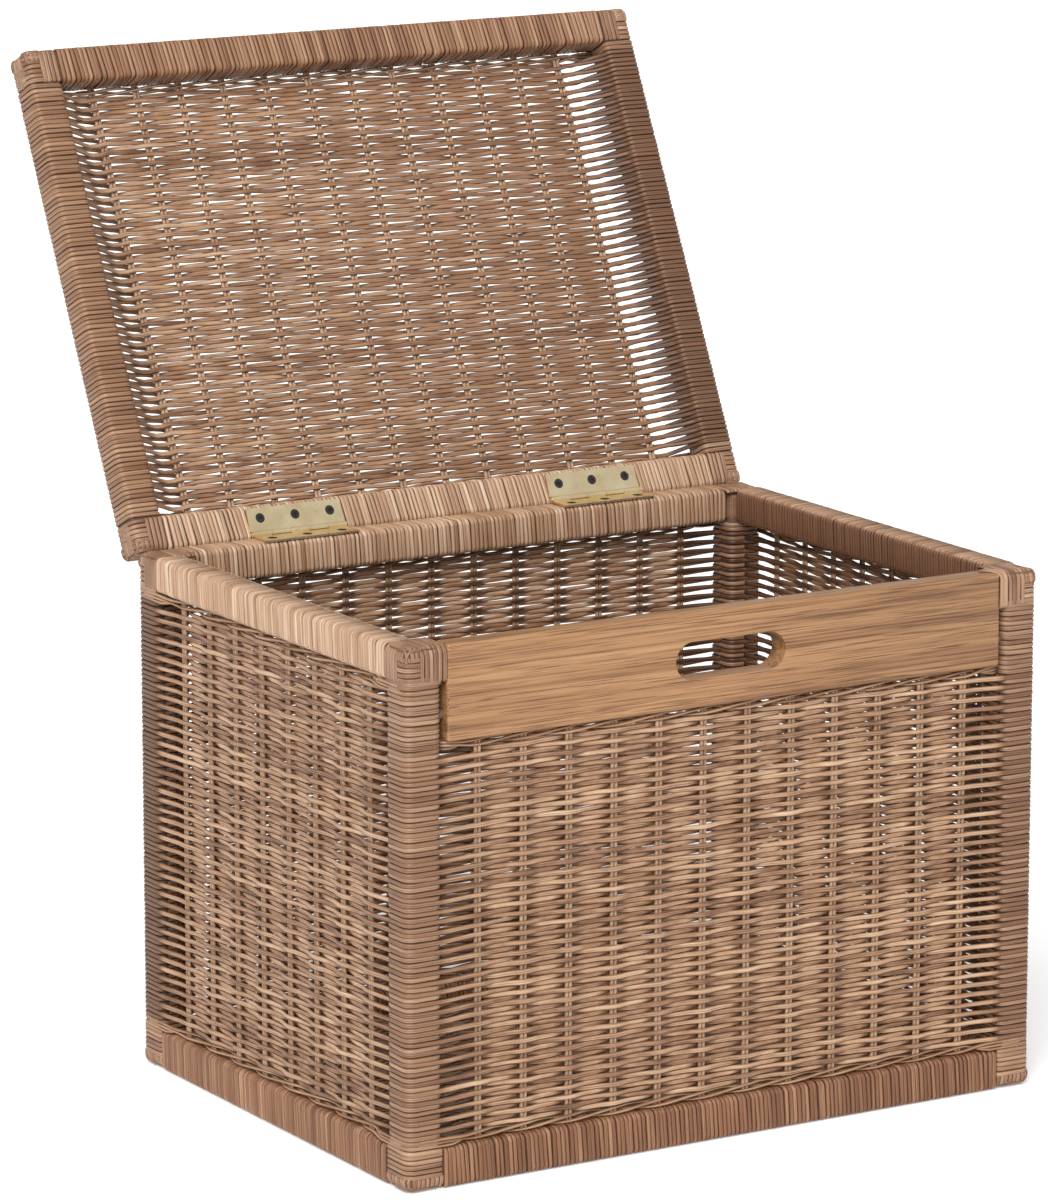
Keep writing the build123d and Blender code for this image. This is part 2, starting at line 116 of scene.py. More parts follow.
def add_bump(tree, shader, height, strength, distance):
    """Fine relief over a finish, from a height that runs from 0 to 1."""
    bump = add_node(tree, "Bump", [("Height", height), ("Strength", strength), ("Distance", distance)])
    tree.links.new(bump.outputs["Normal"], shader.inputs["Normal"])


def wood_finish(name, dark, light, grain_along):
    """Plain sawn wood whose grain runs along one axis: 0 for X, 1 for Y, 2 for Z."""
    material, tree, shader = finish_of(name, roughness=0.6)
    stretch = [90.0, 90.0, 90.0]
    stretch[grain_along] = 6.0
    place = add_node(tree, "TexCoord").outputs["Object"]
    place = add_node(tree, "Mapping", [("Vector", place), ("Scale", stretch)]).outputs["Vector"]
    grain = add_node(tree, "TexNoise", [("Vector", place), ("Scale", 1.0), ("Detail", 6.0)])
    colour = colour_ramp(tree, grain.outputs["Fac"], [(0.3, dark), (0.7, light)])
    tree.links.new(colour, shader.inputs["Base Color"])
    add_bump(tree, shader, grain.outputs["Fac"], 0.3, 0.4 * mm)
    return material


def give_finish(material, *names):
    """Puts a finish on nodes that are shown as they come from the CAD model."""
    for name in names:
        data = nodes[name].data
        data.materials.clear()
        data.materials.append(material)


dark_stain = (0.07, 0.035, 0.02)
light_stain = (0.15, 0.08, 0.045)
post_wood = wood_finish("post_wood", dark_stain, light_stain, 2)
rail_wood = wood_finish("rail_wood", dark_stain, light_stain, 0)
side_rail_wood = wood_finish("side_rail_wood", dark_stain, light_stain, 1)
for post_name in ("front_left", "front_right", "back_left", "back_right"):
    give_finish(post_wood, post_name + "_post")
give_finish(rail_wood, "back_top_rail", "back_bottom_rail", "front_bottom_rail",
            "lid_front_rail", "lid_back_rail")
give_finish(side_rail_wood, "left_top_rail", "right_top_rail", "left_bottom_rail",
            "right_bottom_rail", "lid_left_rail", "lid_right_rail")
batten_wood = wood_finish("batten_wood", (0.16, 0.09, 0.05), (0.30, 0.18, 0.10), 1)
give_finish(batten_wood, "base_batten")


# Nails and dowels hold the frame together under the cane: round bright steel wire nails, and
# turned dowels, stained like the frame, between the board and the posts.
def speckle(tree, scale, detail):
    """Fine noise that is the same in every direction and fixed to the object."""
    place = add_node(tree, "TexCoord").outputs["Object"]
    return add_node(tree, "TexNoise", [("Vector", place), ("Scale", scale),
                                       ("Detail", detail)]).outputs["Fac"]


nail_steel, nail_tree, nail_shader = finish_of("nail_steel", metallic=1.0, roughness=0.35)
nail_shader.inputs["Base Color"].default_value = (0.45, 0.45, 0.46, 1)
add_bump(nail_tree, nail_shader, speckle(nail_tree, 900.0, 3.0), 0.2, 0.1 * mm)
give_finish(nail_steel, "frame_nails", "lid_nails")
dowel_wood = wood_finish("dowel_wood", (0.10, 0.055, 0.03), (0.2, 0.12, 0.07), 0)
give_finish(dowel_wood, "front_board_dowels")


# Stakes: pairs of thin rods of rattan core let into the rails. The weavers pass round them, so
# they show as pale doubled ribs in the gaps between the rows.
stake_rod, stake_tree, stake_shader = finish_of("stake_rod", roughness=0.55)
stake_mark = speckle(stake_tree, 160.0, 4.0)
stake_colour = colour_ramp(stake_tree, stake_mark, [(0.3, (0.24, 0.13, 0.07)), (0.7, (0.50, 0.33, 0.21))])
stake_tree.links.new(stake_colour, stake_shader.inputs["Base Color"])
add_bump(stake_tree, stake_shader, stake_mark, 0.3, 0.3 * mm)
give_finish(stake_rod, "front_stakes", "back_stakes", "side_stakes", "floor_stakes", "lid_stakes")


# Woven walls: flat oval rattan strands, about 4 mm wide, laid in level rows that pass outside one
# stake pair and inside the next. At each end every second row bridges the slot onto the post.
def arithmetic(tree, operation, first, second=0.0):
    """One step of arithmetic on shader values."""
    return add_node(tree, "Math", [(0, first), (1, second)], operation=operation).outputs[0]


def multiplied(tree, colour, factor):
    """A colour multiplied by another one, or by a plain value."""
    return add_node(tree, "Mix", [(0, 1.0), (6, colour), (7, factor)], data_type="RGBA",
                    blend_type="MULTIPLY").outputs[2]


def cane_finish(name, browns, blotch=0.72, fibre=0.34, gloss=0.42, painted_groove_shade=0.5):
    """Rattan: each strand has a shade of its own, blotches along it and fine fibres in it.

    A second attribute evens the shades out and darkens them, and above 1 it darkens them further. It
    carries painted shade on inner faces, deep in slots and on the lid, and a darkening round the posts."""
    settled_shade, evening = 0.34, 0.65
    split_dark, painted_shade_darkness, darkest = 0.55, 0.5, 0.03
    material, tree, shader = finish_of(name, roughness=gloss)
    luck = add_node(tree, "Attribute", attribute_name="cane").outputs["Fac"]
    painted_shade_and_darkening = add_node(tree, "Attribute", attribute_name="painted_shade_and_darkening").outputs["Fac"]
    unwrapped = add_node(tree, "UVMap", uv_map="UVMap").outputs["UV"]
    strand = add_node(tree, "SeparateXYZ", [("Vector", unwrapped)])
    along = strand.outputs["X"]
    round_it = strand.outputs["Y"]

    def times(value, factor):
        return arithmetic(tree, "MULTIPLY", value, factor)

    def plus(first, second):
        return arithmetic(tree, "ADD", first, second)

    def power(value, exponent):
        return arithmetic(tree, "POWER", value, exponent)

    def noise(length_scale, width_scale, seed, detail):
        place = add_node(tree, "CombineXYZ", [("X", times(along, length_scale)),
                                              ("Y", times(round_it, width_scale)),
                                              ("Z", times(luck, seed))]).outputs[0]
        return add_node(tree, "TexNoise", [("Vector", place), ("Scale", 1.0), ("Detail", detail),
                                           ("Roughness", 0.6)]).outputs["Fac"]

    patches = noise(26.0, 0.8, 531.0, 3.0)
    fibres = noise(14.0, 26.0, 977.0, 3.0)
    shade = plus(times(luck, 1.0 - blotch), times(patches, blotch))
    shade = plus(shade, times(plus(fibres, -0.5), fibre * 2))
    to_settled = plus(times(shade, -1.0), settled_shade)
    shade = plus(shade, times(to_settled, times(painted_shade_and_darkening, evening)))
    colour = colour_ramp(tree, shade, browns)

    # Painted shade: each strand darkens toward the edges of its section, for the grooves between strands.
    edge = arithmetic(tree, "COSINE", times(round_it, 2 * math.pi))
    edge = times(edge, edge)
    split = power(plus(times(edge, -1.0), 1.0), 45.0)
    splits_here = add_node(tree, "MapRange", [("Value", noise(9.0, 0.1, 313.0, 1.0)), ("From Min", 0.42),
                                              ("From Max", 0.56)]).outputs[0]
    split = times(split, splits_here)
    # Above 1 the attribute adds painted shade, and the darkening round the posts. All darkness is tinted
    # warmer as it deepens.
    over_one = arithmetic(tree, "MAXIMUM", plus(painted_shade_and_darkening, -1.0), 0.0)
    darkness = plus(times(power(edge, 2.0), painted_groove_shade), times(split, split_dark))
    darkness = plus(darkness, times(over_one, painted_shade_darkness))
    keep = arithmetic(tree, "MAXIMUM", plus(times(darkness, -1.0), 1.0), darkest)
    warm_shade = add_node(tree, "CombineXYZ", [("X", power(keep, 0.90)), ("Y", power(keep, 1.06)),
                                               ("Z", power(keep, 1.18))]).outputs[0]
    tree.links.new(multiplied(tree, colour, warm_shade), shader.inputs["Base Color"])
    add_bump(tree, shader, plus(fibres, times(split, -0.8)), 0.6, 0.4 * mm)
    return material


weaver = cane_finish("weaver", [(0.22, (0.11, 0.048, 0.022)), (0.38, (0.26, 0.132, 0.069)),
                                (0.52, (0.39, 0.228, 0.132)), (0.66, (0.51, 0.327, 0.2)),
                                (0.82, (0.64, 0.46, 0.31))],
                     fibre=0.42, painted_groove_shade=0.4)
luck_of_the_cane = np.random.default_rng(7)
ROW_PITCH = 4.034 * mm
STRAND_WIDTH = 4.1 * mm
STRAND_THICKNESS = 1.9 * mm
STRAND_SIDES = 6
WEAVE_DEPTH = 3.0 * mm
ARC_STEPS = 3


def strand_mesh(strands, width, thickness, tone=0.5, spread=0.8):
    """A mesh of strands with a flat oval section, six-sided, whose width stands along Z.

    Each strand is (points, closed). U is the length along the strand in metres and V goes round
    it. The cane attribute is a shade for each strand, within a spread about the batch's tone."""
    curve = bpy.data.curves.new("strands", "CURVE")
    curve.dimensions = "3D"
    curve.twist_mode = "Z_UP"
    curve.bevel_depth = thickness / 2
    curve.extrude = (width - thickness) / 2
    curve.bevel_resolution = 0
    curve.use_fill_caps = True
    lengths = []
    for points, closed in strands:
        spline = curve.splines.new("POLY")
        spline.points.add(len(points) - 1)
        spline.points.foreach_set("co", np.column_stack([points, np.ones(len(points))]).ravel())
        spline.use_cyclic_u = closed
        if not closed:
            knots = np.arange(0, len(points) + 5, 5)
            girths = luck_of_the_cane.normal(1, 0.08, len(knots))
            swell = np.interp(np.arange(len(points)), knots, girths)
            spline.points.foreach_set("radius", np.clip(swell, 0.8, 1.12))
        lengths.append(np.linalg.norm(np.diff(points, axis=0), axis=1).sum())
    holder = bpy.data.objects.new("strands", curve)
    bpy.context.scene.collection.objects.link(holder)
    evaluated = holder.evaluated_get(bpy.context.evaluated_depsgraph_get())
    mesh = bpy.data.meshes.new_from_object(evaluated)
    bpy.data.objects.remove(holder)
    bpy.data.curves.remove(curve)

    # The mesh holds the end caps first, from the last strand back, and then every strand's rings.
    open_ends = [number for number, strand in enumerate(strands) if not strand[1]]
    owner = [np.repeat(open_ends[::-1], 2 * STRAND_SIDES)]
    owner += [np.full(STRAND_SIDES * len(strand[0]), number) for number, strand in enumerate(strands)]
    owner = np.concatenate(owner).astype(int)
    shades = tone + spread * (luck_of_the_cane.random(len(strands)) - 0.5)
    mesh.attributes.new("cane", "FLOAT", "POINT").data.foreach_set("value", shades[owner])
    corner_vertex = np.zeros(len(mesh.loops), int)
    mesh.loops.foreach_get("vertex_index", corner_vertex)
    unwrapped = np.zeros(2 * len(mesh.loops))
    mesh.uv_layers[0].data.foreach_get("uv", unwrapped)
    unwrapped[::2] *= np.array(lengths)[owner[corner_vertex]]
    mesh.uv_layers[0].data.foreach_set("uv", unwrapped)
    return mesh


def make_piece(name, meshes, material, body, replaced):
    """Joins (mesh, place) pairs into one piece that rides on a body and stands for a CAD node."""
    joined = bmesh.new()
    for mesh, place in meshes:
        mesh.transform(place)
        joined.from_mesh(mesh)
        bpy.data.meshes.remove(mesh)
    bmesh.ops.remove_doubles(joined, verts=joined.verts, dist=1e-7)
    data = bpy.data.meshes.new(name)
    joined.to_mesh(data)
    joined.free()
    data.materials.append(material)
    piece = bpy.data.objects.new(name, data)
    bpy.context.scene.collection.objects.link(piece)
    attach(piece, body)
    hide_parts(replaced)


def wander(along, amount):
    """A slow random drift along a strand."""
    lengths = (0.21, 0.13, 0.07)
    drift = np.zeros(len(along))
    for length in lengths:
        drift += np.sin(2 * math.pi * (along / length + luck_of_the_cane.random()))
    return drift * amount / len(lengths)


def ring(low_x, low_y, high_x, high_y, radius, inset):
    """Points round a rectangle with rounded corners, a little inside its outline.

    There are four at each corner, in the order high-high, low-high, low-low, high-low."""
    points = []
    turn = radius - inset
    corners = [(high_x - radius, high_y - radius, 0), (low_x + radius, high_y - radius, 1),
               (low_x + radius, low_y + radius, 2), (high_x - radius, low_y + radius, 3)]
    for x, y, quarter in corners:
        for step in range(ARC_STEPS + 1):
            angle = (quarter + step / ARC_STEPS) * math.pi / 2
            points.append((x + turn * math.cos(angle), y + turn * math.sin(angle)))
    return np.array(points)


def woven_row(turn, height, half_span, pitch, left_ends, right_ends):
    """One row: turn is 1 where it passes outside the first stake pair, -1 where inside.

    The ends go on past the outermost pair by (distance, depth) steps, given for each side as the
    way of a row that comes from outside that pair and the way of one that comes from inside."""
    pairs = round(2 * half_span / pitch) + 1
    middle = np.linspace(-half_span, half_span, 8 * (pairs - 1) + 1)
    swing = np.cos(math.pi * (middle + half_span) / pitch)
    depth = -turn * WEAVE_DEPTH * swing * np.abs(swing) ** 2.0
    last_turn = turn if pairs % 2 else -turn
    left = np.array(left_ends[0] if turn > 0 else left_ends[1])[::-1]
    right = np.array(right_ends[0] if last_turn > 0 else right_ends[1])
    along = np.concatenate([-half_span - left[:, 0], middle, half_span + right[:, 0]])
    deep = np.concatenate([left[:, 1], depth, right[:, 1]])
    level = height + wander(along, 0.45 * mm)
    deep = deep + wander(along, 0.15 * mm)
    return np.column_stack([along, deep, level]), False


def wall_place(quarter_turns, distance):
    """Puts a wall that faces -Y in its own frame onto its side of the trunk."""
    return (Matrix.Rotation(quarter_turns * math.pi / 2, 4, "Z")
            @ Matrix.Translation((0, -distance, 0)))


def spots_of(mesh):
    """X, Y and Z of every vertex, before the mesh is put in its place."""
    spots = np.zeros(3 * len(mesh.vertices))
    mesh.vertices.foreach_get("co", spots)
    return spots.reshape(-1, 3).T


def set_painted_shade_and_darkening(mesh, painted_shade_and_darkening):
    """Gives every vertex its painted shade and darkening, which cane_finish reads."""
    mesh.attributes.new("painted_shade_and_darkening", "FLOAT", "POINT").data.foreach_set("value", painted_shade_and_darkening)


PAIR_HALF_WIDTH = 3.2 * mm
LONG_PAIRS = 12
SIDE_PAIRS = 8
POST_RADIUS = 8 * mm
WRAP_INSET = 1.1 * mm
DARKER_END_RAMP = 6 * mm
long_half_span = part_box("front_stakes")[1].x - PAIR_HALF_WIDTH
long_pitch = 2 * long_half_span / (LONG_PAIRS - 1)
side_half_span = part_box("side_stakes")[1].y - PAIR_HALF_WIDTH
side_pitch = 2 * side_half_span / (SIDE_PAIRS - 1)
into_slot = [(9 * mm, 3.8 * mm), (18 * mm, 6.0 * mm), (27 * mm, 8.5 * mm), (37 * mm, 10.0 * mm)]
past_post = [(8 * mm, -2.6 * mm), (17 * mm, -1.2 * mm), (27 * mm, 0.2 * mm), (37 * mm, 0.6 * mm)]


def round_the_post(half_span, half_width, post_face, post_width):
    """The way of a strand that bridges the slot, goes once round the post and tucks in behind itself.

    Steps are (distance past the last stake pair, depth); depth is negative on the outer face. It
    goes out along the outer face, back along the inner one, and ends at the corner it came from."""
    near = half_width - half_span
    far = near + post_width
    inner_face = post_face + post_width
    turn = [tuple(point) for point in ring(near, post_face, far, inner_face, POST_RADIUS, WRAP_INSET)]
    bridge = [(0.25 * near, -3.1 * mm), (0.52 * near, -4.6 * mm), (0.8 * near, -6.2 * mm),
              (near + 2 * mm, post_face + WRAP_INSET)]
    return bridge + turn[12:] + turn[:9]


# Each wall has its name, quarter turns from the front, CAD node, half span and pitch of the stake
# pairs, tone, painted shade on its inner face, and darkening on the posts at its left and right.
walls = [("front", 0, "front_weave", long_half_span, long_pitch, 0.5, 1.4, (1.1, 1.45)),
         ("right", 1, "right_weave", side_half_span, side_pitch, 0.5, 1.95, (1.0, 1.0)),
         ("back", 2, "back_weave", long_half_span, long_pitch, 0.5, 0.0, (1.0, 1.6)),
         ("left", 3, "left_weave", side_half_span, side_pitch, 0.44, 1.3, (1.65, 1.15))]
# Painted shade deep in the slots beside the posts.
painted_shade_in_slot = 2.0
post_low, post_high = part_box("front_right_post_wrap")
wall_places = {}
wall_half_widths = {}
for wall, quarter_turns, weave_node, half_span, pitch, tone, painted_shade_inside, darker_on_posts in walls:
    low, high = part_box(weave_node)
    middle = (low + high) / 2
    on_the_side = quarter_turns % 2 == 1
    distance = abs(middle.x) if on_the_side else abs(middle.y)
    half_width = (high.y - low.y if on_the_side else high.x - low.x) / 2
    wall_places[wall] = wall_place(quarter_turns, distance)
    wall_half_widths[wall] = half_width
    rows = round((high.z - low.z) / ROW_PITCH)
    post_face = distance - (cad_high.x if on_the_side else -cad_low.y)
    onto_post = round_the_post(half_span, half_width, post_face, post_high.x - post_low.x)
    left_ends = (past_post if wall == "right" else onto_post, into_slot)
    right_ends = (past_post if wall == "left" else onto_post, into_slot)
    strands = [woven_row(1 if row % 2 else -1, low.z + (row + 0.5) * ROW_PITCH, half_span, pitch,
                         left_ends, right_ends) for row in range(rows)]
    mesh = strand_mesh(strands, STRAND_WIDTH, STRAND_THICKNESS, tone)
    across, deep = spots_of(mesh)[:2]
    # Strands are darker where they go round the posts.
    darker_at_ends = np.where(across < 0, *darker_on_posts)
    darker_at_ends = darker_at_ends * np.clip((np.abs(across) - half_width + DARKER_END_RAMP) / DARKER_END_RAMP, 0, 1)
    # Painted shade: strands darken where they pass inside the stakes, and most deep in the slots.
    shaded = painted_shade_inside * np.clip(0.3 + deep / WEAVE_DEPTH, 0, 1)
    shaded[(deep > WEAVE_DEPTH) & (np.abs(across) < half_width)] = painted_shade_in_slot
    set_painted_shade_and_darkening(mesh, np.maximum(darker_at_ends, shaded))
    make_piece(wall + "_wall_weaving", [(mesh, wall_places[wall])], weaver, "box", weave_node)


# Woven floor: the same strands, woven left to right round pairs of stakes that run front to back.
# It lies just above the ground inside the bottom rails, and butts against the side rails.
low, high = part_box("floor_weave")
floor_rows = round((high.y - low.y) / ROW_PITCH)
floor_pitch = (high.y - low.y) / floor_rows
to_side_rail = high.x - long_half_span
butt_ends = ([(9 * mm, -1.5 * mm), (20 * mm, 0.0), (to_side_rail, 0.0)],
             [(9 * mm, 1.5 * mm), (20 * mm, 0.0), (to_side_rail, 0.0)])
strands = []
for row in range(floor_rows):
    level = low.y + (row + 0.5) * floor_pitch
    strands.append(woven_row(1 if row % 2 else -1, level, long_half_span, long_pitch, butt_ends,
                             butt_ends))
floor_place = Matrix(((1, 0, 0, 0), (0, 0, -1, 0), (0, 1, 0, (low.z + high.z) / 2), (0, 0, 0, 1)))
floor_mesh = strand_mesh(strands, STRAND_WIDTH, STRAND_THICKNESS)
make_piece("floor_weaving", [(floor_mesh, floor_place)], weaver, "box", "floor_weave")


# Post wraps: the strands that the walls carry round each post close it on most rows. Rings of the
# same cane, each a turn of its own, are laid on the rows that are left and above and below them.
post_cane = cane_finish("post_cane", [(0.2, (0.15, 0.07, 0.034)), (0.38, (0.24, 0.124, 0.066)),
                                      (0.54, (0.32, 0.184, 0.107)), (0.7, (0.39, 0.24, 0.147)),
                                      (0.86, (0.48, 0.32, 0.21))],
                        fibre=0.42, painted_groove_shade=0.34)


def wound_ring(outline, level, tilt):
    """One closed turn of a winding, slightly out of level."""
    x, y = outline[:, 0], outline[:, 1]
    lean_x, lean_y = luck_of_the_cane.normal(0, tilt, 2)
    height = level + lean_x * (x - x.mean()) / np.ptp(x) + lean_y * (y - y.mean()) / np.ptp(y)
    return np.column_stack([x, y, height]), True


RING_WIDTH = 4.05 * mm
RING_TILT = 0.4 * mm
wall_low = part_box("back_weave")[0].z
wall_rows = round((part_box("back_weave")[1].z - wall_low) / ROW_PITCH)
front_rows = round((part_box("front_weave")[1].z - wall_low) / ROW_PITCH)
for post_name in ("front_left", "front_right", "back_left", "back_right"):
    low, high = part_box(post_name + "_post_wrap")
    outline = ring(low.x, low.y, high.x, high.y, POST_RADIUS, WRAP_INSET)
    if post_name.startswith("front"):
        first_carried = 1 if post_name == "front_left" else 0
        carried = set(range(first_carried, front_rows, 2))
    else:
        carried = set(range(wall_rows))
    bare = [row for row in range(-2, wall_rows + 2) if row not in carried]
    strands = [wound_ring(outline, wall_low + (row + 0.5) * ROW_PITCH, RING_TILT) for row in bare]
    tone = 0.25 if post_name == "front_right" else 0.5
    mesh = strand_mesh(strands, RING_WIDTH, STRAND_THICKNESS, tone)
    make_piece(post_name + "_post_winding", [(mesh, Matrix.Identity(4))], post_cane,
               "box", post_name + "_post_wrap")


# Borders: a twist of three round rods runs along the top and the bottom of each wall. Each rod
# passes outside two stake pairs and inside the third, so the band shows a rising diagonal lay.
border_cane = cane_finish("border_cane", [(0.2, (0.15, 0.07, 0.035)), (0.42, (0.33, 0.182, 0.1)),
                                          (0.62, (0.48, 0.30, 0.185)), (0.84, (0.62, 0.44, 0.30))])
ROD_DIAMETER = 2.8 * mm
ROD_SPACING = 2.7 * mm
ROD_SWING = 2.9 * mm
ROD_RISE = 2.6 * mm
EASE_LENGTH = 26 * mm
TUCKED_LENGTH = 4 * mm


def twisted_border(half_span, pitch, level, reach, face_depth):
    """Three rods along one edge; past the last stakes they lie flat on the face, side by side.

    At each end they ease onto the face, and the very end is tucked in behind it."""
    along = np.linspace(-reach, reach, round(2 * reach / (7 * mm)) + 1)
    rods = []
    for rod in range(3):
        phase = 2 * math.pi * ((along + half_span) / (3 * pitch) + rod / 3)
        depth = ROD_SWING * np.tanh(2.2 * np.cos(phase))
        height = level - ROD_RISE * np.sin(phase)
        past = np.clip((np.abs(along) - half_span - 2 * mm) / EASE_LENGTH, 0, 1)
        ease = past * past * (3 - 2 * past)
        depth = depth * (1 - ease) + face_depth * ease
        height = height * (1 - ease) + (level + (rod - 1) * ROD_SPACING) * ease
        tucked = np.clip((np.abs(along) - reach + TUCKED_LENGTH) / TUCKED_LENGTH, 0, 1)
        depth = depth + 2.5 * mm * tucked
        rods.append((np.column_stack([along, depth, height]), False))
    return rods


BORDER_GAP = 4 * mm
face_of_post = -6.9 * mm
under_the_board = -2 * mm
border_meshes = []
for wall, quarter_turns, weave_node, half_span, pitch, *shading in walls:
    low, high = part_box(weave_node)
    across_posts = wall_half_widths[wall] + 27 * mm
    rods = twisted_border(half_span, pitch, low.z - BORDER_GAP, across_posts, face_of_post)
    if wall == "front":
        between_posts = wall_half_widths[wall] - 1 * mm
        rods += twisted_border(half_span, pitch, high.z + BORDER_GAP, between_posts, under_the_board)
    else:
        rods += twisted_border(half_span, pitch, high.z + BORDER_GAP, across_posts, face_of_post)
    border_meshes.append((strand_mesh(rods, ROD_DIAMETER + 0.1 * mm, ROD_DIAMETER), wall_places[wall]))
make_piece("wall_borders", border_meshes, border_cane, "box", "panel_borders")


# Rail bindings: cane wound close round every rail. The strands lie in pairs with a deeper groove
# between one pair and the next.
rail_cane = cane_finish("rail_cane", [(0.18, (0.17, 0.069, 0.03)), (0.38, (0.30, 0.145, 0.071)),
                                      (0.55, (0.42, 0.25, 0.148)), (0.68, (0.54, 0.35, 0.222)),
                                      (0.84, (0.70, 0.52, 0.37))],
                        blotch=0.66, gloss=0.5, painted_groove_shade=0.42)
RAIL_STRAND_WIDTH = 3.95 * mm
RAIL_STRAND_THICKNESS = 1.95 * mm
PAIR_PITCH = 8.05 * mm
FROM_PAIR_MIDDLE = 0.242
RAIL_EDGE = 5 * mm
RAIL_INSET = 1.0 * mm
along_x = Matrix(((0, 0, 1, 0), (1, 0, 0, 0), (0, 1, 0, 0), (0, 0, 0, 1)))
along_y = Matrix(((0, 1, 0, 0), (0, 0, 1, 0), (1, 0, 0, 0), (0, 0, 0, 1)))


def wound_turn(outline, level, rise):
    """One turn of a winding that climbs by rise, open where it meets the next turn."""
    closed = np.vstack([outline, outline[:1]])
    travelled = np.concatenate([[0], np.cumsum(np.linalg.norm(np.diff(closed, axis=0), axis=1))])
    lean = luck_of_the_cane.normal(0, 1.0 * mm)
    height = level + (rise + lean) * (travelled / travelled[-1] - 0.5)
    return np.column_stack([closed, height]), False


def bound_rail(low, high, axis, tone):
    """Close winding round a rail that runs along X (axis 0) or Y (axis 1).

    The two strands of a pair lie closer to each other than to the next pair. Each turn climbs to
    where the next pair starts, and climbs less at the ends of the rail."""
    if axis == 0:
        outline = ring(low.y, low.z, high.y, high.z, RAIL_EDGE, RAIL_INSET)
        place = along_x
    else:
        outline = ring(low.z, low.x, high.z, high.x, RAIL_EDGE, RAIL_INSET)
        place = along_y
    length = high[axis] - low[axis]
    pairs = round(length / PAIR_PITCH)
    spacing = length / pairs
    strands = []
    for pair in range(pairs):
        for side in (-1, 1):
            level = low[axis] + (pair + 0.5) * spacing + side * FROM_PAIR_MIDDLE * spacing
            near_end = min(level - low[axis], high[axis] - level)
            rise = spacing * min(1.0, near_end / (2 * spacing))
            level += luck_of_the_cane.normal(0, 0.22 * mm)
            strands.append(wound_turn(outline, level, rise))
    return strand_mesh(strands, RAIL_STRAND_WIDTH, RAIL_STRAND_THICKNESS, tone, spread=0.55), place


painted_shade_on_inner_face = 1.7
for rail, axis, tone in (("back_top", 0, 0.8), ("left_top", 1, 0.95), ("right_top", 1, 0.5),
                         ("back_bottom", 0, 0.2), ("front_bottom", 0, -0.2), ("left_bottom", 1, 0.0),
                         ("right_bottom", 1, 0.2)):
    low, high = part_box(rail + "_binding")
    mesh, place = bound_rail(low, high, axis, tone)
    # Painted shade on the inner faces of the left and right top rails.
    if rail in ("left_top", "right_top"):
        across = spots_of(mesh)[1]
        on_inner_face = np.abs(across) < min(abs(low.x), abs(high.x)) + 2.2 * mm
        set_painted_shade_and_darkening(mesh, painted_shade_on_inner_face * on_inner_face)
    make_piece(rail + "_rail_winding", [(mesh, place)], rail_cane, "box", rail + "_binding")


# Corner lashings: flat strands cross over every post head and foot in three directions, each set
# hooked over one edge of the corner and tucked under the next set.
corner_cane = cane_finish("corner_cane", [(0.18, (0.18, 0.088, 0.045)), (0.38, (0.31, 0.168, 0.095)),
                                          (0.55, (0.43, 0.26, 0.16)), (0.72, (0.54, 0.355, 0.23)),
                                          (0.88, (0.66, 0.48, 0.34))])
CORNER_STRAND_WIDTH = 4.2 * mm
LAPPED_STRAND_WIDTH = 4.6 * mm
TUCK_REACH = 2 * mm
TUCK_DEPTH = 1.8 * mm
CLOSEST_POINTS = 0.3 * mm
OVER_THE_PACKING = 1.6 * mm


def hooked_strand(corner, inward, axis, offset, run_b, run_c, radius, sink):
    """A strand over the edge that runs along axis, in (b, c, axis) coordinates.

    It runs run_c down the face across b, rounds the edge, and runs run_b along the face across c.
    Both ends dip to tuck in, and a strand near the tip of the corner sinks with its rounding."""
    b, c = (axis + 1) % 3, (axis + 2) % 3
    if offset < radius:
        sink += 0.8 * (radius - math.sqrt(radius ** 2 - (radius - offset) ** 2))
    arc = radius - sink
    points = [(sink + TUCK_DEPTH, run_c + TUCK_REACH), (sink, run_c)]
    if run_c > 2 * radius:
        points.append((sink, 0.5 * (run_c + radius)))
    for step in range(4):
        angle = step / 3 * math.pi / 2
        points.append((radius - arc * math.cos(angle), radius - arc * math.sin(angle)))
    if run_b > 2 * radius:
        points.append((0.5 * (run_b + radius), sink))
    points += [(run_b, sink), (run_b + TUCK_REACH, sink + TUCK_DEPTH)]
    points = np.array(points)
    apart = np.linalg.norm(np.diff(points, axis=0), axis=1) > CLOSEST_POINTS
    points = points[np.concatenate([[True], apart])]
    level = np.full(len(points), corner[axis] + inward[axis] * offset)
    level = level + np.linspace(-1, 1, len(points)) * luck_of_the_cane.normal(0, 0.3 * mm)
    return np.column_stack([corner[b] + inward[b] * points[:, 0],
                            corner[c] + inward[c] * points[:, 1], level]), False


axis_places = [along_x, along_y, Matrix.Identity(4)]


def corner_lashing(corner, inward, sets, radius):
    """Crossing sets over one outer corner; each is (axis, offsets, run_b, run_c, sink), in mm."""
    meshes = []
    for axis, offsets, run_b, run_c, sink in sets:
        strands = [hooked_strand(corner, inward, axis, offset * mm, run_b * mm, run_c * mm, radius,
                                 sink * mm) for offset in offsets]
        mesh = strand_mesh(strands, CORNER_STRAND_WIDTH, STRAND_THICKNESS, tone=0.05, spread=0.6)
        meshes.append((mesh, axis_places[axis]))
    return meshes


